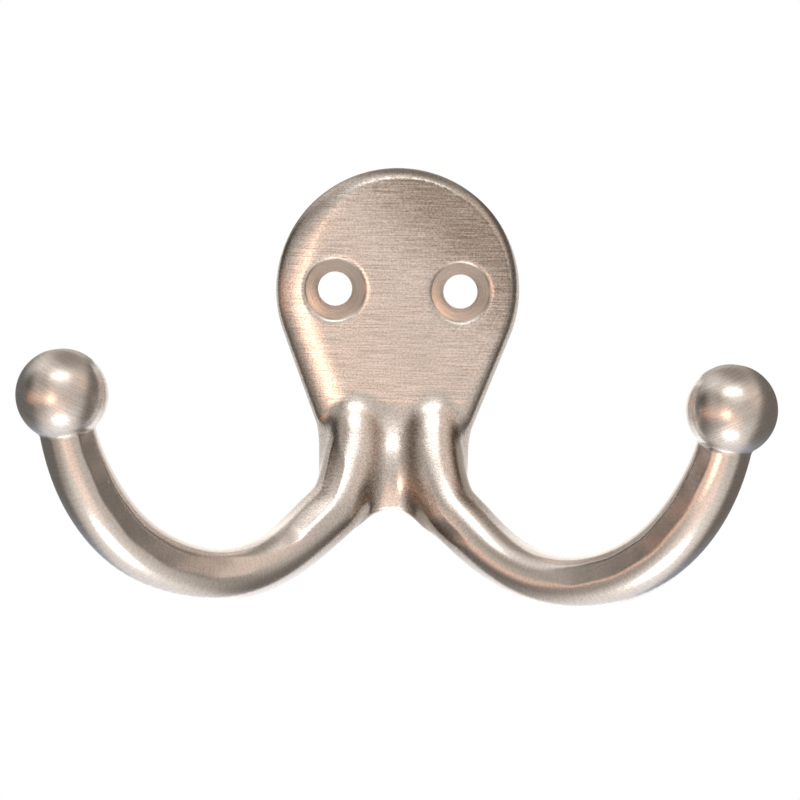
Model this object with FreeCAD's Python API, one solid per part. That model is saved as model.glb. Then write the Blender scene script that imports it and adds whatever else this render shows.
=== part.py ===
import FreeCAD, Part
import math
import os
from FreeCAD import Vector

# Double robe hook: one casting, sizes in mm.
# +X is right, +Y is into the wall and +Z is up. The origin is on the back face,
# midway between the two screw holes. "Depth" is the distance out of the wall, along -Y,
# and "drop" is the distance below the screw holes.

# Overall sizes
OVERALL_WIDTH = 89.2
PROJECTION = 33.0
ARM_DROP = 38.2

# Screw holes, countersunk for a No. 8 flat-head wood screw
HOLE_SPACING = 15.875
HOLE_DIAMETER = 4.3
COUNTERSINK_DIAMETER = 7.85
COUNTERSINK_ANGLE = 82.0

# Plate: round top, straight tapering sides, a waist, and two round feet behind the arms.
# The waist land is what shows of the plate beside each rib.
PLATE_RADIUS = 15.4
PLATE_THICKNESS = 4.0
RIM_RADIUS = 1.8
SIDE_TAPER = 21.0
WAIST_RADIUS = 7.5
WAIST_LAND = 0.65
FOOT_DROP = 24.65
ARCH_RISE = 1.3

# Ribs: each arm starts as a rib that leaves the plate's face with a blunt tip
RIB_SPACING = 10.2
RIB_TOP = 13.5
RIB_SLOPE = 27.0
TIP_RISE = 0.7
TIP_LENGTH = 1.0
ROOT_DIAMETER = 7.2

# Hollow blends from the rib to the face and the rim. A blend ends a little under the face.
VALLEY_BLEND = 2.0
FLANK_BLEND = 1.2
BLEND_SINK = 0.06
TIP_COVER = 0.25
ROOT_BURY = 2.2

# Web between the ribs: a ramp out of the face that turns over and goes back to the arch
WEB_TOP = 15.4
WEB_SLOPE = 21.0
WEB_CREST = 23.6
WEB_ROUND = 3.0
WEB_HEEL = 3.0
WEB_COVER = 0.3

# Arm: a bend out of the rib, a straight shank, and a bowl that is a quarter of an ellipse.
# "Out" is the distance outward from the rib.
BEND_DROP = 26.0
BEND_OUT = 1.4
CROTCH_DROP = 28.6
CROTCH_OUT = 3.6
SHANK_RISE = 2.4
SHANK_OUT = 8.1
TROUGH_SPACING = 41.2
BOWL_TOP_DROP = 9.0
TROUGH_DIAMETER = 6.8
RISE_DIAMETER = 7.1
NECK_DIAMETER = 6.6

# Ball
BALL_DIAMETER = 10.8
BALL_DROP = 12.1

ball_x = (OVERALL_WIDTH - BALL_DIAMETER) / 2
ball_depth = PROJECTION - BALL_DIAMETER / 2
rib_x = RIB_SPACING / 2
root_radius = ROOT_DIAMETER / 2
trough_radius = TROUGH_DIAMETER / 2
rise_radius = RISE_DIAMETER / 2
neck_radius = NECK_DIAMETER / 2


def at(x, depth, z):
    """Point or direction from a depth out of the wall."""
    return Vector(x, -depth, z)


def mirrored(point):
    return Vector(-point.x, point.y, point.z)


def tangent_of(angle):
    return math.tan(math.radians(angle))


def toward(centre, other, radius):
    """Point of a circle on the line from its centre to another point."""
    return centre + (other - centre).normalize() * radius


# Plate outline. Each side leaves the top arc in a tangent and runs into the waist arc,
# then goes straight down to a round foot. An arch joins the two feet in tangents.
taper_cos = math.cos(math.radians(SIDE_TAPER))
taper_sin = math.sin(math.radians(SIDE_TAPER))
side_start = at(PLATE_RADIUS * taper_cos, 0, -PLATE_RADIUS * taper_sin)
foot_radius = root_radius + WAIST_LAND
waist_centre_x = rib_x + foot_radius + WAIST_RADIUS
side_length = (side_start.x + WAIST_RADIUS * taper_cos - waist_centre_x) / taper_sin
waist_start = side_start + at(-taper_sin, 0, -taper_cos) * side_length
waist_centre = waist_start + at(taper_cos, 0, -taper_sin) * WAIST_RADIUS
waist_end = waist_centre - at(WAIST_RADIUS, 0, 0)
waist_middle = toward(waist_centre, (waist_start + waist_end) / 2, WAIST_RADIUS)
foot_centre = at(rib_x, 0, -FOOT_DROP)
foot_start = foot_centre + at(foot_radius, 0, 0)
foot_bottom = foot_centre - at(0, 0, foot_radius)
arch_radius = (rib_x ** 2 + ARCH_RISE ** 2) / (2 * ARCH_RISE) - foot_radius
arch_top = at(0, 0, foot_bottom.z + ARCH_RISE)
arch_end = toward(arch_top - at(0, 0, arch_radius), foot_centre, arch_radius)


def half_width(z):
    """Half of the plate's width at a height on its straight side or its waist."""
    if z > waist_start.z:
        return side_start.x - (side_start.z - z) * taper_sin / taper_cos
    above = max(z - waist_centre.z, 0)
    return waist_centre_x - math.sqrt(WAIST_RADIUS ** 2 - above ** 2)


right_edges = [
    Part.LineSegment(side_start, waist_start).toShape(),
    Part.Arc(waist_start, waist_middle, waist_end).toShape(),
    Part.LineSegment(waist_end, foot_start).toShape(),
    Part.Arc(foot_start, foot_bottom, arch_end).toShape(),
]
left_edges = [edge.mirror(Vector(0, 0, 0), Vector(1, 0, 0)) for edge in right_edges]
top_edge = Part.Arc(mirrored(side_start), at(0, 0, PLATE_RADIUS), side_start).toShape()
arch_edge = Part.Arc(arch_end, arch_top, mirrored(arch_end)).toShape()
outline = Part.Wire(Part.__sortEdges__([top_edge, arch_edge] + right_edges + left_edges))
plate = Part.Face(outline).extrude(at(0, PLATE_THICKNESS, 0))
rim_edges = [
    edge for edge in plate.Edges
    if abs(edge.BoundBox.YMax + PLATE_THICKNESS) < 1e-6
]
plate = plate.makeFillet(RIM_RADIUS, rim_edges)

# Web: its side outline, drawn across the left rib and pulled through to the right rib
web_depth = PLATE_THICKNESS + (WEB_CREST - WEB_TOP) * tangent_of(WEB_SLOPE)
web_outline = [
    (WEB_HEEL / 2, -WEB_TOP),
    (PLATE_THICKNESS, -WEB_TOP),
    (web_depth, -WEB_CREST),
    (WEB_HEEL, arch_top.z + WEB_COVER),
    (WEB_HEEL / 2, arch_top.z + WEB_COVER),
    (WEB_HEEL / 2, -WEB_TOP),
]
web_reach = rib_x - root_radius / 3
web_side = Part.makePolygon([at(-web_reach, depth, z) for depth, z in web_outline])
web = Part.Face(web_side).extrude(at(2 * web_reach, 0, 0))
crest_edges = [edge for edge in web.Edges if abs(edge.BoundBox.YMax + web_depth) < 1e-6]
web = web.makeFillet(WEB_ROUND, crest_edges)


def rib_rise(z):
    """Height of the rib's front over the plate's face: a blunt tip that settles to the slope."""
    run = -RIB_TOP - z
    slope = tangent_of(RIB_SLOPE)
    if run < 0:
        return (slope + TIP_RISE / TIP_LENGTH) * run
    return slope * run + TIP_RISE * (1 - math.exp(-run / TIP_LENGTH))


def rib_centre(z):
    return at(rib_x, PLATE_THICKNESS + rib_rise(z) - root_radius, z)


# Stations of the arm's centre line. The arm lies in an upright plane from the bend to the ball.
rib_heights = [-RIB_TOP - run for run in (-0.4, 0.3, 1.0, 2.2, 3.6, 5.4)]
trough_x = TROUGH_SPACING / 2
trough_z = trough_radius - ARM_DROP
bend_x = rib_x + BEND_OUT
bend_depth = -rib_centre(-BEND_DROP).y
splay = (ball_depth - bend_depth) / (ball_x - bend_x)
bowl_height = -BOWL_TOP_DROP - trough_z
ball_turn = math.acos((BALL_DROP - BOWL_TOP_DROP) / bowl_height)
bowl_width = (ball_x - trough_x) / math.sin(ball_turn)


def arm_point(x, z):
    return at(x, bend_depth + splay * (x - bend_x), z)


def bowl_point(share):
    """Point of the bowl, from 0 at the trough to 1 at the ball."""
    turn = share * ball_turn
    return arm_point(trough_x + bowl_width * math.sin(turn), -BOWL_TOP_DROP - bowl_height * math.cos(turn))


free_stations = [
    (arm_point(bend_x, -BEND_DROP), root_radius),
    (arm_point(rib_x + CROTCH_OUT, -CROTCH_DROP), root_radius),
    (arm_point(rib_x + SHANK_OUT, trough_z + SHANK_RISE), trough_radius),
    (bowl_point(0), trough_radius),
    (bowl_point(0.38), rise_radius),
    (bowl_point(0.68), rise_radius),
    (bowl_point(0.87), neck_radius),
    (bowl_point(1), neck_radius),
]
centre_line = Part.BSplineCurve()
centre_line.interpolate([rib_centre(z) for z in rib_heights] + [point for point, radius in free_stations])


def short_arc(centre, start, end):
    middle = toward(centre, (start + end) / 2, (start - centre).Length)
    return Part.Arc(start, middle, end).toShape()


def rib_section(z, sink):
    """Level section of a rib: a round front, a hollow blend on each side, its back in the plate.

    The inner blend ends on the face. The outer one ends on the face too, or on the rim's
    rounding where the face has run out.
    """
    centre = rib_centre(z)
    face = PLATE_THICKNESS - sink
    over = -centre.y - face
    valley_reach = math.sqrt((root_radius + VALLEY_BLEND) ** 2 - (VALLEY_BLEND - over) ** 2)
    valley_centre = at(rib_x - valley_reach, face + VALLEY_BLEND, z)
    valley_foot = at(valley_centre.x, face, z)
    flank_reach = math.sqrt((root_radius + FLANK_BLEND) ** 2 - (FLANK_BLEND - over) ** 2)
    rim_centre = at(half_width(z) - RIM_RADIUS / taper_cos, PLATE_THICKNESS - RIM_RADIUS, z)
    if rib_x + flank_reach <= rim_centre.x:
        flank_centre = at(rib_x + flank_reach, face + FLANK_BLEND, z)
        flank_foot = at(flank_centre.x, face, z)
    else:
        rim = RIM_RADIUS - sink
        across = rim_centre - centre
        gap = across.Length
        across.normalize()
        along = (gap ** 2 + (root_radius + FLANK_BLEND) ** 2 - (rim + FLANK_BLEND) ** 2) / (2 * gap)
        aside = math.sqrt((root_radius + FLANK_BLEND) ** 2 - along ** 2)
        flank_centre = centre + across * along + Vector(across.y, -across.x, 0) * aside
        flank_foot = toward(rim_centre, flank_centre, rim)
    flank_top = toward(centre, flank_centre, root_radius)
    valley_top = toward(centre, valley_centre, root_radius)
    front = centre + at(0, root_radius, 0)
    back = at((valley_foot.x + flank_foot.x) / 2, face - ROOT_BURY, z)
    return Part.Wire([
        short_arc(flank_centre, flank_foot, flank_top),
        Part.Arc(flank_top, front, valley_top).toShape(),
        short_arc(valley_centre, valley_top, valley_foot),
        Part.Arc(valley_foot, back, flank_foot).toShape(),
    ])


def arm_section(point, radius):
    """Round section square to the centre line, in four arcs that carry on those of the rib."""
    along = centre_line.tangent(centre_line.parameter(point))[0]
    forward = at(0, 1, 0)
    front = (forward - along * along.dot(forward)).normalize()
    side = front.cross(along)

    def around(angle):
        turn = math.radians(angle)
        return point + (front * math.cos(turn) + side * math.sin(turn)) * radius

    return Part.Wire([
        Part.Arc(around(115), around(95), around(75)).toShape(),
        Part.Arc(around(75), around(0), around(-75)).toShape(),
        Part.Arc(around(-75), around(-95), around(-115)).toShape(),
        Part.Arc(around(-115), around(180), around(115)).toShape(),
    ])


# The first section of the loft lies wholly inside the plate
tip = rib_heights[0]
sections = [rib_section(tip, TIP_COVER - rib_rise(tip))]
sections += [rib_section(z, BLEND_SINK) for z in rib_heights[1:]]
sections += [arm_section(point, radius) for point, radius in free_stations]
arm = Part.makeLoft(sections, True, False)
ball = Part.makeSphere(BALL_DIAMETER / 2, bowl_point(1))

# One half is joined up, drilled and mirrored
right_side = Part.makeBox(OVERALL_WIDTH, 4 * PROJECTION, 4 * ARM_DROP, at(0, 2 * PROJECTION, -2 * ARM_DROP))
half = plate.fuse(web).common(right_side).fuse(arm.fuse(ball).common(right_side))
hole_x = HOLE_SPACING / 2
drill_start = at(hole_x, -PLATE_THICKNESS, 0)
drill = Part.makeCylinder(HOLE_DIAMETER / 2, 3 * PLATE_THICKNESS, drill_start, at(0, 1, 0))
sink_depth = (COUNTERSINK_DIAMETER - HOLE_DIAMETER) / 2 / tangent_of(COUNTERSINK_ANGLE / 2)
countersink = Part.makeCone(
    HOLE_DIAMETER / 2, COUNTERSINK_DIAMETER / 2, sink_depth,
    at(hole_x, PLATE_THICKNESS - sink_depth, 0), at(0, 1, 0),
)
half = half.cut(drill).cut(countersink)
hook = half.fuse(half.mirror(Vector(0, 0, 0), Vector(1, 0, 0))).removeSplitter()

if len(hook.Solids) != 1 or not hook.isValid():
    raise RuntimeError("the hook is not one sound solid")
os.makedirs("parts", exist_ok=True)
hook.Solids[0].exportStep("parts/hook.step")
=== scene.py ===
import math

import bpy
import numpy as np
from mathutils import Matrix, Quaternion, Vector


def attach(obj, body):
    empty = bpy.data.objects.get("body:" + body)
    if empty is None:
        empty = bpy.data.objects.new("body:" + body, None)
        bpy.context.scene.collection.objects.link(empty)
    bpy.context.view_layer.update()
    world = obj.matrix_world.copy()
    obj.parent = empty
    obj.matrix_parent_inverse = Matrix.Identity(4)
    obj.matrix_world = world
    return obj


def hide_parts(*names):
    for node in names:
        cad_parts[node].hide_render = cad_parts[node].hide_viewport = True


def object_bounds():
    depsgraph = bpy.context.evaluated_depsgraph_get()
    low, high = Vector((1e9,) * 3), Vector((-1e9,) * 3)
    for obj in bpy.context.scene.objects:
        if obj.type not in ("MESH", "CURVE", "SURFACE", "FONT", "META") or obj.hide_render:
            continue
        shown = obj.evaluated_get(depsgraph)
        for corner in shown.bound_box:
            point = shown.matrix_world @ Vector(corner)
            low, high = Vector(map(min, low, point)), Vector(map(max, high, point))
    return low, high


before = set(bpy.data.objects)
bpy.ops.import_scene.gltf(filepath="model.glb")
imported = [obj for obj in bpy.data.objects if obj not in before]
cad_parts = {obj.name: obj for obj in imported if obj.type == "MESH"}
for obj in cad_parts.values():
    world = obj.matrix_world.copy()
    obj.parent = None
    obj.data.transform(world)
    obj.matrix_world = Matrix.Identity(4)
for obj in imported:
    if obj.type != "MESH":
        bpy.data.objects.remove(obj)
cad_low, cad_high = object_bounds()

# Plate of the casting: zinc alloy, with a round head, straight sides that taper to a waist, and
# two feet behind the arms. Its rim is rounded over. The face was ground on a belt, deeper at the
# right and the top, so the rim starts with a crisp line there and softly at the left.
# The casting is drawn as a field that gives the distance to the metal at any point, because its
# parts melt into each other. Sizes are in mm, and depth is the distance out of the wall.
MM = 0.001
PLATE_RADIUS = cad_high.z / MM
PLATE_THICKNESS = 4.0
SIDE_TAPER = math.radians(21.0)
WAIST_HALF_WIDTH = 9.35
WAIST_RADIUS = 7.5
RIB_X = 5.1
FOOT_Z = -24.65
FOOT_RADIUS = WAIST_HALF_WIDTH - RIB_X
RIM_DEPTH = 2.1
RIM_WIDTH = 2.5
SOFT_RIM_WIDTH = 5.2
GRINDING_STOCK = 0.1
BELT_END_Z = -12.6


def blended_min(a, b, width):
    """The smaller of two distances, less a parabola that is widest where the two are equal."""
    share = np.maximum(width - np.abs(a - b), 0) / width
    return np.minimum(a, b) - share * share * width / 4


def blended_max(a, b, width):
    """The larger of two distances, plus the same parabola."""
    return -blended_min(-a, -b, width)


def eased(start, end, value):
    """0 before the start, 1 after the end, and three times the square less twice the cube between."""
    share = np.clip((value - start) / (end - start), 0, 1)
    return share * share * (3 - 2 * share)


def plate_outline(x, z):
    """Distance to the outline in the plate's plane: the distance to a circle, a slanted line, the
    hollow circle of the waist, an upright line or the circle of a foot, each in its own sector."""
    x = np.abs(x)
    cosine = math.cos(SIDE_TAPER)
    sine = math.sin(SIDE_TAPER)
    head = np.hypot(x, z) - PLATE_RADIUS
    side = x * cosine - z * sine - PLATE_RADIUS
    waist_x = WAIST_HALF_WIDTH + WAIST_RADIUS
    waist_z = (waist_x * cosine - PLATE_RADIUS - WAIST_RADIUS) / sine
    waist = WAIST_RADIUS - np.hypot(x - waist_x, z - waist_z)
    foot = np.hypot(x - RIB_X, z - FOOT_Z) - FOOT_RADIUS
    between_feet = np.maximum(x - RIB_X, FOOT_Z - FOOT_RADIUS - z)
    outline = np.where(z * cosine + x * sine > 0, head, side)
    under_side = (x - waist_x) * sine + (z - waist_z) * cosine < 0
    outline = np.where(under_side, np.where(z > waist_z, waist, x - WAIST_HALF_WIDTH), outline)
    return np.where(z < FOOT_Z, np.minimum(foot, between_feet), outline)


def plate(x, depth, z):
    """Distance to the plate: the outline and the front meet in a quarter of an ellipse."""
    softness = np.clip((-x - 0.35 * z) / 11, 0, 1)
    rim_width = RIM_WIDTH + (SOFT_RIM_WIDTH - RIM_WIDTH) * softness
    across = (plate_outline(x, z) + rim_width) * RIM_DEPTH / rim_width
    over = depth - (PLATE_THICKNESS + GRINDING_STOCK - RIM_DEPTH)
    corner = np.hypot(np.maximum(across, 0), np.maximum(over, 0))
    rounded = corner + np.minimum(np.maximum(across, over), 0) - RIM_DEPTH
    return blended_max(rounded, -depth, 0.3)


def ground_away(x, depth, z):
    """Height over the ground face, above where the belt ended: a tilted plane that falls off by
    the square of the way to the upper right."""
    corner = np.maximum(x + z, 0)
    face = PLATE_THICKNESS + 0.05 - 0.0080 * x - 0.006 * z - 0.0004 * corner * corner
    return np.minimum(depth - face, (z - BELT_END_Z) * 0.08)


# Screw holes: two holes drilled through the plate and countersunk for flat heads, with the sharp
# edge broken a little.
HOLE_X = 7.9375
HOLE_RADIUS = 2.15
COUNTERSINK_RADIUS = 3.925
COUNTERSINK_SLOPE = math.radians(41.0)


def screw_holes(x, depth, z):
    """Distance to the nearer hole: the smaller of those to a cylinder and to a cone."""
    radius = np.hypot(np.abs(x) - HOLE_X, z)
    widening = (depth - PLATE_THICKNESS) * math.tan(COUNTERSINK_SLOPE)
    cone = (radius - COUNTERSINK_RADIUS - widening) * math.cos(COUNTERSINK_SLOPE)
    return np.minimum(radius - HOLE_RADIUS, cone)


# Arms: cast with the plate. Each starts as a rib that leaves the face, bends out, dips to a trough
# and rises to its ball. Long flats were ground along it by hand, and they differ left and right.
BALL_RADIUS = 5.4
BALL = np.array([cad_high.x / MM - BALL_RADIUS, -cad_low.y / MM - BALL_RADIUS, -12.1])
RIB_TOP = 15.7
RIB_SLOPE = math.radians(20.0)
TIP_RISE = 1.6
ROOT_RADIUS = 3.6
TROUGH_X = 20.6
TROUGH_RADIUS = 3.4
BOWL_TOP = -9.0
# Each flat: from and to, in mm along the arm, its turn from the front to the inner side at both
# ends, in degrees, and its depth
RIGHT_FLATS = [(31.0, 69.0, 24.0, 55.0, 0.20), (6.0, 21.0, -36.0, -30.0, 0.16)]
LEFT_FLATS = [(27.0, 69.0, 20.0, 52.0, 0.20), (5.0, 25.0, 40.0, 24.0, 0.20)]


def directions(vectors):
    """Each vector divided by its length."""
    return vectors / np.linalg.norm(vectors, axis=-1, keepdims=True)


def smooth_line(stations, count):
    """Natural cubic spline through the stations, with the root of the chord as its parameter."""
    stations = np.array(stations)
    chords = np.linalg.norm(np.diff(stations[:, :3], axis=0), axis=1)
    knots = np.concatenate([[0], np.cumsum(np.sqrt(chords))])
    gaps = np.diff(knots)
    matrix = np.diag(np.concatenate([[1], 2 * (gaps[:-1] + gaps[1:]), [1]]))
    matrix[np.arange(1, len(gaps)), np.arange(len(gaps) - 1)] = gaps[:-1]
    matrix[np.arange(1, len(gaps)), np.arange(2, len(gaps) + 1)] = gaps[1:]
    steps = np.diff(stations, axis=0) / gaps[:, None]
    pull = np.zeros_like(stations)
    pull[1:-1] = 6 * np.diff(steps, axis=0)
    bend = np.linalg.solve(matrix, pull)
    places = np.linspace(0, knots[-1], count)
    i = np.clip(np.searchsorted(knots, places) - 1, 0, len(gaps) - 1)
    gap = gaps[i][:, None]
    before = (knots[i + 1] - places)[:, None]
    after = (places - knots[i])[:, None]
    curve = (bend[i] * before ** 3 + bend[i + 1] * after ** 3) / (6 * gap)
    start = (stations[i] / gap - bend[i] * gap / 6) * before
    return curve + start + (stations[i + 1] / gap - bend[i + 1] * gap / 6) * after


def rib_centre(z):
    """Depth of the rib's centre line: the slope, and a blunt tip that dies away, less the radius."""
    run = -RIB_TOP - z
    tip = TIP_RISE * np.where(run < 0, run, 1 - np.exp(-max(run, 0)))
    return PLATE_THICKNESS + math.tan(RIB_SLOPE) * run + tip - ROOT_RADIUS / math.cos(RIB_SLOPE)


bend_x = RIB_X + 1.4
bend_z = -26.0
bend_depth = rib_centre(bend_z) + 0.6
splay = (BALL[1] - bend_depth) / (BALL[0] - bend_x)
trough_z = cad_low.z / MM + TROUGH_RADIUS
bowl_height = BOWL_TOP - trough_z
bowl_turn = math.acos((BOWL_TOP - BALL[2]) / bowl_height)
bowl_width = (BALL[0] - TROUGH_X) / math.sin(bowl_turn)
stations = [(RIB_X, rib_centre(z), z, ROOT_RADIUS) for z in (-15.2, -15.8, -16.7, -18.0, -19.8)]
stations += [
    (x, bend_depth + splay * (x - bend_x), z, radius)
    for x, z, radius in (
        (bend_x, bend_z, ROOT_RADIUS),
        (RIB_X + 3.6, -28.6, ROOT_RADIUS),
        (RIB_X + 8.1, trough_z + 2.4, TROUGH_RADIUS),
    )
]
for share, radius in ((0, TROUGH_RADIUS), (0.38, 3.55), (0.68, 3.55), (0.87, 3.3), (1, 3.3)):
    x = TROUGH_X + bowl_width * math.sin(share * bowl_turn)
    z = BOWL_TOP - bowl_height * math.cos(share * bowl_turn)
    stations.append((x, bend_depth + splay * (x - bend_x), z, radius))
arm_line = smooth_line(stations, 90)
arm_tangent = directions(np.gradient(arm_line[:, :3], axis=0))
arm_front = directions(np.array([0, 1, 0]) - arm_tangent[:, 1:2] * arm_tangent)
arm_inner = np.cross(arm_tangent, arm_front)
arm_length = np.concatenate([[0], np.cumsum(np.linalg.norm(np.diff(arm_line[:, :3], axis=0), axis=1))])
# Columns: centre line and radius, front, inner side, length along the arm
arm_table = np.column_stack([arm_line, arm_front, arm_inner, arm_length])


def along_arm(points):
    """Nearest place of the right arm: distance to its round skin, and the row of the table there."""
    starts = arm_line[:-1]
    spans = np.diff(arm_line, axis=0)
    squares = (spans[:, :3] ** 2).sum(axis=1)
    distances = []
    rows = []
    for part in np.array_split(points, len(points) // 20000 + 1):
        offset = part @ spans[:, :3].T - (starts[:, :3] * spans[:, :3]).sum(axis=1)
        share = np.clip(offset / squares, 0, 1)
        gap = sum((part[:, i:i + 1] - starts[:, i] - share * spans[:, i]) ** 2 for i in range(3))
        gap = np.sqrt(gap) - starts[:, 3] - share * spans[:, 3]
        nearest = gap.argmin(axis=1)
        order = np.arange(len(part))
        step = share[order, nearest][:, None]
        distances.append(gap[order, nearest])
        rows.append(arm_table[nearest] * (1 - step) + arm_table[nearest + 1] * step)
    return np.concatenate(distances), np.concatenate(rows)


def arm(points, flats):
    """Distance to the right arm: the larger of those to the round skin and to each flat's plane."""
    skin_distance, row = along_arm(points)
    away = points - row[:, :3]
    frontward = (away * row[:, 4:7]).sum(axis=1)
    inward = (away * row[:, 7:10]).sum(axis=1)
    length = row[:, 10]
    for start, end, start_turn, end_turn, depth in flats:
        share = np.clip((length - start) / (end - start), 0, 1)
        turn = np.radians(start_turn + (end_turn - start_turn) * share + 1.5 * np.sin(length))
        reach = eased(start, start + 6, length) * eased(end + 1, end - 3, length)
        level = row[:, 3] - (depth + 0.05) * reach + 0.05
        plane = frontward * np.cos(turn) + inward * np.sin(turn) - level
        skin_distance = blended_max(skin_distance, plane, 0.06)
    return skin_distance


# Web: the metal between the ribs. It ramps out of the face, turns over, and slopes back to an arch
# that was cut clean when the flash was trimmed off.
ARCH_RISE = 1.3
WEB_TOP = 16.1
WEB_SLOPE = math.radians(27.0)
WEB_CREST = 23.4
WEB_HALF_WIDTH = 4.6
HEEL_DEPTH = 6.4
arch_radius = (RIB_X ** 2 + ARCH_RISE ** 2) / (2 * ARCH_RISE) - FOOT_RADIUS
arch_top = FOOT_Z - FOOT_RADIUS + ARCH_RISE
crest_depth = PLATE_THICKNESS + (WEB_CREST - WEB_TOP) * math.tan(WEB_SLOPE)
underside = directions(np.array([-WEB_CREST - arch_top, HEEL_DEPTH - crest_depth]))


def arch(x, z):
    """Distance into the arch: the radius of its circle less the distance to the circle's centre."""
    return arch_radius - np.hypot(x, z - arch_top + arch_radius)


def web(x, depth, z):
    """Distance to the web: the largest of those to the ramp, the underside, the sides, the level of
    the feet and the arch."""
    ramp = (depth - PLATE_THICKNESS) * math.cos(WEB_SLOPE) + (WEB_TOP + z) * math.sin(WEB_SLOPE)
    under = (depth - HEEL_DEPTH) * underside[0] + (z - arch_top) * underside[1]
    body = blended_max(blended_max(ramp, under, 3.2), np.abs(x) - WEB_HALF_WIDTH, 1.0)
    body = np.maximum(body, FOOT_Z - FOOT_RADIUS - z)
    return blended_max(body, arch(x, z), 0.5)


# Balls: cast on the ends of the arms, with a crisp seam at the neck. The parting line of the mould
# was dressed off, which left a narrow flattened band over each ball on its inner side.
BAND_TURN = math.radians(71.0)
BAND_DEPTH = 0.05


def ball(points):
    """Distance to the right ball: a sphere cut by a coaxial cylinder that is a little smaller."""
    away = points - BALL
    squares = (away ** 2).sum(axis=1)
    along = away @ np.array([math.cos(BAND_TURN), math.sin(BAND_TURN), 0])
    band = np.sqrt(np.maximum(squares - along ** 2, 0)) - BALL_RADIUS + BAND_DEPTH
    return blended_max(np.sqrt(squares) - BALL_RADIUS, band, 0.03)


# Casting: everything above in one piece, as it comes out of the mould, ground and drilled. The
# fillets are wide where ribs and web meet and tight at the tips of the ribs and the necks.
STEP = 0.3


def casting(points):
    """Distance to the casting: blended smallest of its parts, less what was ground and drilled away."""
    x, depth, z = points.T
    mirrored = points * [-1, 1, 1]
    arms = blended_min(arm(points, RIGHT_FLATS), arm(mirrored, LEFT_FLATS), 0.6)
    arms = blended_min(arms, web(x, depth, z), 2.1 + 0.4 * np.tanh(x))
    base = blended_max(plate(x, depth, z), arch(x, z), 0.5)
    body = blended_min(base, arms, 1.0 + 0.6 * eased(-15, -19, z))
    body = blended_max(body, -depth, 0.15)
    body = blended_max(body, ground_away(x, depth, z), 0.05 + 0.12 * eased(2, -10, x))
    body = blended_min(body, np.minimum(ball(points), ball(mirrored)), 0.35)
    return blended_max(body, -screw_holes(x, depth, z), 0.3)


def skin(field, low, high, step):
    """Points and four-sided faces of the field's zero surface.

    Each edge of a grid that the surface crosses gives a point and a normal on the surface. Each
    grid cell gets one corner of the mesh, as near as can be to all tangent planes on its edges.
    The corners of the four cells around an edge make a face. The field is worked out in full
    only near the surface, and on every fourth grid line elsewhere.
    """
    block = 4
    count = np.ceil((high - low) / step / block).astype(int) * block + 1
    lines = [low[i] + step * np.arange(0, count[i], block) for i in range(3)]
    coarse = np.meshgrid(*lines, indexing="ij")
    rough = field(np.stack(coarse, axis=-1).reshape(-1, 3)).reshape(coarse[0].shape)
    pick = np.ix_(*[
        np.minimum((np.arange(count[i]) + block // 2) // block, rough.shape[i] - 1) for i in range(3)
    ])
    value = rough[pick]
    band = np.argwhere(np.abs(value) < 1.3 * block * step)
    value[tuple(band.T)] = field(low + step * band)
    cells = count - 1
    points = []
    rings = []
    for axis in range(3):
        unit = np.eye(3, dtype=int)[axis]
        inside = value < 0
        crossed = np.argwhere(np.diff(inside, axis=axis))
        near = value[tuple(crossed.T)]
        far = value[tuple((crossed + unit).T)]
        corner = low + step * crossed
        start = np.zeros(len(crossed))
        end = np.ones(len(crossed))
        start_value = near.copy()
        end_value = far.copy()
        share = near / (near - far)
        for refine in range(3):
            here = field(corner + step * share[:, None] * unit)
            same = (here < 0) == (start_value < 0)
            start = np.where(same, share, start)
            start_value = np.where(same, here, start_value)
            end = np.where(same, end, share)
            end_value = np.where(same, end_value, here)
            fall = np.clip(start_value / (start_value - end_value + 1e-30), 0.02, 0.98)
            share = start + (end - start) * fall
        points.append(corner + step * share[:, None] * unit)
        side = np.roll(unit, 1)
        other = np.roll(unit, 2)
        around = [crossed - side - other, crossed - other, crossed, crossed - side]
        ring = np.stack([np.ravel_multi_index(cell.T, cells) for cell in around], axis=1)
        rings.append(np.where((near > 0)[:, None], ring, ring[:, ::-1]))
    points = np.concatenate(points)
    used, faces = np.unique(np.concatenate(rings), return_inverse=True)
    faces = faces.reshape(-1, 4)
    slope = [field(points + 0.01 * unit) - field(points - 0.01 * unit) for unit in np.eye(3)]
    normals = directions(np.stack(slope, axis=1))
    owner = faces.ravel()
    source = np.repeat(np.arange(len(points)), 4)
    share = 1 / np.bincount(owner)
    middle = np.stack([np.bincount(owner, points[source, i]) * share for i in range(3)], axis=1)
    normal = normals[source]
    height = ((points[source] - middle[owner]) * normal).sum(axis=1)
    pull = np.stack([np.bincount(owner, normal[:, i] * height) for i in range(3)], axis=1)
    spread = np.stack([
        np.stack([np.bincount(owner, normal[:, i] * normal[:, j]) for j in range(3)], axis=1)
        for i in range(3)
    ], axis=1)
    shift = np.linalg.solve(spread + 0.08 * np.eye(3), pull[:, :, None])[:, :, 0]
    corner = low + step * np.stack(np.unravel_index(used, cells), axis=1)
    return np.clip(middle + shift, corner - 0.1 * step, corner + 1.1 * step), faces


margin = np.array([1.5, 1.2, 1.5])
grid_low = np.array([cad_low.x, -cad_high.y, cad_low.z]) / MM - margin
grid_high = np.array([cad_high.x, -cad_low.y, cad_high.z]) / MM + margin
corners, faces = skin(casting, grid_low, grid_high, STEP)
mesh = bpy.data.meshes.new("casting")
mesh.from_pydata((corners * [1, -1, 1] * MM).tolist(), [], faces.tolist())
mesh.shade_smooth()
mesh.set_sharp_from_angle(angle=math.radians(30))
hook = bpy.data.objects.new("casting", mesh)
bpy.context.scene.collection.objects.link(hook)
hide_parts("hook")
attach(hook, "root")

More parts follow.
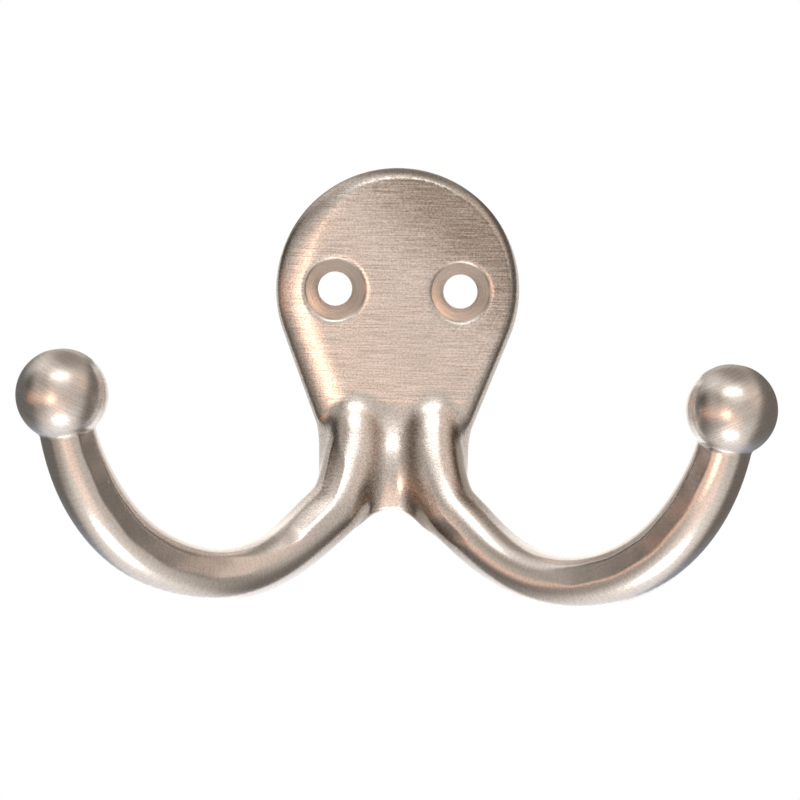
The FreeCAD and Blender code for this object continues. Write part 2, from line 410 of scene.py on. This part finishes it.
# Finish: the casting was brushed by hand before plating. Belt lines run across the plate, turned
# marks round the countersinks, strokes round the arms, and fine scratches slant over the balls.
# The root, where no belt reaches, is blasted and keeps the most pits.
side = np.where(corners[:, 0] < 0, -1.0, 1.0)
ones = np.ones(len(corners))
folded = corners * np.column_stack([side, ones, ones])
x, depth, z = folded.T
arm_row = along_arm(folded)[1]
away = folded - arm_row[:, :3]
turn = np.arctan2((away * arm_row[:, 7:10]).sum(axis=1), (away * arm_row[:, 4:7]).sum(axis=1))
# Along the stroke, across the stroke, and a number that sets one region off from the next, in mm
strokes = np.column_stack([turn * ROOT_RADIUS, arm_row[:, 10], 60 + 20 * side])
brushed = 0.1 + 0.1 * eased(10, 20, arm_row[:, 10])
pitted = 0.3 + 0.4 * eased(26, 12, arm_row[:, 10])
dull = 0.21 + 0.02 * eased(26, 12, arm_row[:, 10])
# Painted shade: the colour is darkened on the flanks of the ribs, a little more on the right, and on
# the rim (below)
painted_shade = eased(0.35, 0.8, np.abs(turn)) * eased(26, 14, arm_row[:, 10]) * (0.85 + 0.15 * side)
painted_shade = painted_shade * eased(0.7, 2.4, x) * eased(4.1, 5.2, depth)
on_web = (x < 2.6) & (z > arch_top - 1)
strokes[on_web] = np.column_stack([corners[:, 0], z, 30 * ones])[on_web]
from_ball = folded - BALL
on_ball = np.linalg.norm(from_ball, axis=1) < BALL_RADIUS + 0.06
slant = from_ball[:, 2] - 0.5 * from_ball[:, 0]
round_ball = BALL_RADIUS * np.arctan2(from_ball[:, 0] + 0.5 * from_ball[:, 2], from_ball[:, 1])
strokes[on_ball] = np.column_stack([round_ball, slant, 140 + 20 * side])[on_ball]
brushed[on_ball] = 0.5
pitted[on_ball] = 0.3
dull[on_ball] = 0.27
on_plate = (z > -14.0) & (x < PLATE_RADIUS + 1) & ~on_ball
strokes[on_plate] = np.column_stack([corners[:, 0], z, 0 * ones])[on_plate]
brushed[on_plate] = 0.3
pitted[on_plate] = 0.7
# Painted shade on the rim of the plate, but not on the balls
rim_shade = 0.45 * eased(-1.7, -0.6, plate_outline(x, z)) * eased(5.5, 4.0, depth)
painted_shade = np.maximum(painted_shade, np.where(on_ball, 0, rim_shade))
on_face = on_plate & (plate_outline(x, z) < -1.2)
brushed[on_face] = 1.0
from_hole = np.hypot(x - HOLE_X, z)
in_hole = (from_hole < COUNTERSINK_RADIUS) & (depth > 0.3) & (depth < PLATE_THICKNESS + 0.1)
round_hole = 3 * np.arctan2(z, x - HOLE_X)
strokes[in_hole] = np.column_stack([round_hole, from_hole, 10 * ones])[in_hole]
brushed[in_hole] = 0.5
pitted[in_hole] = 0.2
ground = (on_face & ~in_hole).astype(float)
mesh.attributes.new("strokes", "FLOAT_VECTOR", "POINT").data.foreach_set("vector", strokes.ravel())
finish = {"brushed": brushed, "pitted": pitted, "dull": dull, "ground": ground, "painted_shade": painted_shade}
for name, values in finish.items():
    mesh.attributes.new(name, "FLOAT", "POINT").data.foreach_set("value", values)


def linear(code):
    """sRGB hex to linear red, green, blue and alpha."""
    values = [int(code[i:i + 2], 16) / 255 for i in (0, 2, 4)]
    return [v / 12.92 if v <= 0.04045 else ((v + 0.055) / 1.055) ** 2.4 for v in values] + [1.0]


def node(tree, kind, inputs, **settings):
    """Adds a node, sets its properties, and sets or links its inputs."""
    made = tree.nodes.new(kind)
    for name, value in settings.items():
        setattr(made, name, value)
    for socket, source in inputs.items():
        if isinstance(source, bpy.types.NodeSocket):
            tree.links.new(source, made.inputs[socket])
        else:
            made.inputs[socket].default_value = source
    return made


# Satin nickel: a thin plating over the brushed zinc, warm grey. The brush lines are 0.16 mm wide
# and 5 mm long and the pits 0.24 mm, both drawn about twice as coarse as the real ones, which are
# too fine for the picture. Metal in the pits and lines looks darker.
satin = bpy.data.materials.new("satin_nickel")
satin.use_nodes = True
tree = satin.node_tree
shader = tree.nodes["Principled BSDF"]
shader.inputs["Metallic"].default_value = 1.0
stroke = node(tree, "ShaderNodeAttribute", {}, attribute_name="strokes").outputs["Vector"]
brush_depth = node(tree, "ShaderNodeAttribute", {}, attribute_name="brushed").outputs["Fac"]
pit_depth = node(tree, "ShaderNodeAttribute", {}, attribute_name="pitted").outputs["Fac"]
on_ground = node(tree, "ShaderNodeAttribute", {}, attribute_name="ground").outputs["Fac"]
spot = node(tree, "ShaderNodeTexCoord", {}).outputs["Object"]
line_spot = node(tree, "ShaderNodeVectorMath", {
    0: stroke, 1: (1 / 5.0, 1 / 0.16, 1.0),
}, operation="MULTIPLY")
lines = node(tree, "ShaderNodeTexNoise", {
    "Vector": line_spot.outputs[0], "Scale": 1.0, "Detail": 4.0, "Roughness": 0.65,
}).outputs[0]
pits = node(tree, "ShaderNodeTexNoise", {
    "Vector": spot, "Scale": 1 / (0.24 * MM), "Detail": 2.0, "Roughness": 0.6,
}).outputs[0]
clouds = node(tree, "ShaderNodeTexNoise", {
    "Vector": spot, "Scale": 1 / (7.0 * MM), "Detail": 2.0, "Roughness": 0.5,
}).outputs[0]
line_height = node(tree, "ShaderNodeMath", {0: lines, 1: brush_depth}, operation="MULTIPLY")
height = node(tree, "ShaderNodeMath", {
    0: pits, 1: pit_depth, 2: line_height.outputs[0],
}, operation="MULTIPLY_ADD")
bump = node(tree, "ShaderNodeBump", {
    "Height": height.outputs[0], "Strength": 1.0, "Distance": 0.02 * MM,
})
tree.links.new(bump.outputs[0], shader.inputs["Normal"])
mean_roughness = node(tree, "ShaderNodeAttribute", {}, attribute_name="dull").outputs["Fac"]
cloud_part = node(tree, "ShaderNodeMapRange", {0: clouds, 1: 0.3, 2: 0.7, 3: -0.02, 4: 0.02})
roughness = node(tree, "ShaderNodeMath", {
    0: mean_roughness, 1: cloud_part.outputs[0],
}, operation="ADD")
tree.links.new(roughness.outputs[0], shader.inputs["Roughness"])
axes = node(tree, "ShaderNodeSeparateXYZ", {0: spot})
# The ground face is darker towards the upper right
upper_right = node(tree, "ShaderNodeMath", {
    0: axes.outputs["X"], 1: axes.outputs["Z"],
}, operation="ADD")
upper_right_darkening = node(tree, "ShaderNodeMapRange", {
    0: upper_right.outputs[0], 1: 2 * MM, 2: 18 * MM, 3: 0.0, 4: -0.50,
}, interpolation_type="SMOOTHSTEP")
pit_tone = node(tree, "ShaderNodeMapRange", {0: pits, 1: 0.36, 2: 0.6, 3: -0.23, 4: 0.23})
line_tone = node(tree, "ShaderNodeMapRange", {0: lines, 1: 0.3, 2: 0.7, 3: -0.34, 4: 0.34})
painted_shade_input = node(tree, "ShaderNodeAttribute", {}, attribute_name="painted_shade").outputs["Fac"]
tone = 0.74
for effect, strength in (
    (upper_right_darkening.outputs[0], on_ground),
    # painted shade on the flanks of the ribs and on the rim
    (painted_shade_input, -0.80),
    (pit_tone.outputs[0], pit_depth),
    (line_tone.outputs[0], brush_depth),
):
    tone = node(tree, "ShaderNodeMath", {
        0: effect, 1: strength, 2: tone,
    }, operation="MULTIPLY_ADD").outputs[0]
nickel = node(tree, "ShaderNodeMix", {
    "Factor": tone, 6: linear("8c7d70"), 7: linear("f0e9e3"),
}, data_type="RGBA")
tree.links.new(nickel.outputs[2], shader.inputs["Base Color"])
mesh.materials.append(satin)

# Studio: a pale floor that only takes a shadow, a white sheet behind the hook, which its edges
# mirror, and a soft box above and one below the camera.
FLOOR_Z = -160 * MM
FLOOR_RADIUS = 0.3
turns = [math.radians(angle) for angle in range(0, 360, 5)]
floor_edge = [(FLOOR_RADIUS * math.cos(a), FLOOR_RADIUS * math.sin(a), FLOOR_Z) for a in turns]
floor_mesh = bpy.data.meshes.new("floor")
floor_mesh.from_pydata(floor_edge, [], [range(len(floor_edge))])
floor = bpy.data.objects.new("floor", floor_mesh)
bpy.context.scene.collection.objects.link(floor)
floor.is_shadow_catcher = True
floor.visible_glossy = False
floor.visible_shadow = False


def direction(azimuth, elevation):
    """Direction from the hook, in degrees to the right of straight ahead and above level."""
    a = math.radians(azimuth)
    e = math.radians(elevation)
    return Vector((math.sin(a) * math.cos(e), -math.cos(a) * math.cos(e), math.sin(e)))


# Name, place in mm, aim, width and height in mm, brightness against the white ground, colour
above = direction(-4, 50)
below = direction(-4, -60)
lamps = [
    ("key", above * 900, -above, 760, 320, 1.5, "fffaf6"),
    ("low", below * 900, -below, 520, 440, 1.4, "fdfbff"),
    ("sheet", Vector((0, 1.5, -38)), Vector((0, -1, 0)), 92, 100, 0.85, "ffffff"),
]
for name, place, aim, wide, tall, brightness, code in lamps:
    light = bpy.data.lights.new(name, "AREA")
    light.shape = "ELLIPSE"
    light.size = wide * MM
    light.size_y = tall * MM
    light.energy = brightness * math.pi * math.pi * light.size * light.size_y / 4
    light.color = linear(code)[:3]
    lamp = bpy.data.objects.new(name, light)
    lamp.location = place * MM
    lamp.rotation_euler = aim.to_track_quat("-Z", "Y").to_euler()
    lamp.visible_camera = False
    bpy.context.scene.collection.objects.link(lamp)

# Room around the hook: pale walls, dark openings left, right and above, and a warm lamp with its
# glow on the left wall. The camera itself sees plain white.
world = bpy.data.worlds.new("studio")
bpy.context.scene.world = world
world.use_nodes = True
room_tree = world.node_tree
room_tree.nodes.clear()
look = node(room_tree, "ShaderNodeTexCoord", {}).outputs["Generated"]
room = node(room_tree, "ShaderNodeRGB", {}).outputs[0]
room.default_value = linear("cec8c2")
# Azimuth, elevation, full within and none beyond these angles, colour, strength
patches = [
    (6, -2, 4, 38, "ffe6d6", 0.10),
    (0, 50, 8, 36, "ffffff", 0.36),
    (-80, 64, 6, 28, "ffffff", 0.30),
    (-125, 44, 8, 30, "ffffff", 0.36),
    (0, -58, 8, 44, "ffffff", 0.36),
    (0, -94, 10, 42, "ffffff", 0.22),
    (-116, -6, 34, 58, "fff6ee", -0.44),
    (-40, 30, 4, 20, "ffffff", -0.18),
    (-78, 28, 6, 30, "ffffff", -0.12),
    (-60, -28, 6, 24, "ffffff", -0.18),
    (-76, -5, 3, 15, "ffb48c", 0.48),
    (-54, -6, 3, 15, "ffb48c", 0.46),
    (-36, -7, 3, 13, "ffb48c", 0.44),
    (-20, -8, 5, 13, "ffd2b8", 2.8),
    (-24, 5, 6, 18, "ffd8c0", 0.35),
    (0, -26, 6, 24, "ffbf9c", 0.34),
    (62, 36, 8, 32, "ffcfae", 0.24),
    (46, -30, 4, 22, "ffffff", 0.08),
    (120, -10, 44, 64, "fcf6f0", -0.44),
    (180, 70, 14, 44, "ffffff", -0.26),
    (180, -52, 14, 48, "c4daff", 0.30),
]
for azimuth, elevation, full, none, code, strength in patches:
    nearness = node(room_tree, "ShaderNodeVectorMath", {
        0: look, 1: direction(azimuth, elevation),
    }, operation="DOT_PRODUCT").outputs["Value"]
    edge = math.cos(math.radians(none))
    core = math.cos(math.radians(full))
    share = node(room_tree, "ShaderNodeMapRange", {
        0: nearness, 1: edge, 2: core, 4: strength,
    }, interpolation_type="SMOOTHSTEP")
    room = node(room_tree, "ShaderNodeMix", {
        "Factor": share.outputs[0], 6: room, 7: linear(code),
    }, data_type="RGBA", blend_type="ADD", clamp_factor=False).outputs[2]
mirrored_room = node(room_tree, "ShaderNodeBackground", {0: room, 1: 1.0})
white_ground = node(room_tree, "ShaderNodeBackground", {0: linear("ffffff"), 1: 1.0})
ray = node(room_tree, "ShaderNodeLightPath", {})
shown = node(room_tree, "ShaderNodeMixShader", {
    0: ray.outputs["Is Camera Ray"], 1: mirrored_room.outputs[0], 2: white_ground.outputs[0],
})
node(room_tree, "ShaderNodeOutputWorld", {0: shown.outputs[0]})

# Camera: a long lens a little above the hook, pointing slightly down and turned by a hair, as in
# the photograph.
lens = bpy.data.cameras.new("camera")
lens.sensor_width = 36.0
lens.lens = 114.4
lens.clip_start = 0.01
camera = bpy.data.objects.new("camera", lens)
camera.location = Vector((-3.4, -324.0, 13.08)) * MM
camera.rotation_mode = "QUATERNION"
tilt = Quaternion((0, 0, 1), math.radians(1.4))
camera.rotation_quaternion = direction(179.284, -4.8).to_track_quat("-Z", "Y") @ tilt
bpy.context.scene.collection.objects.link(camera)
bpy.context.scene.camera = camera
bpy.context.scene.view_settings.view_transform = "Standard"
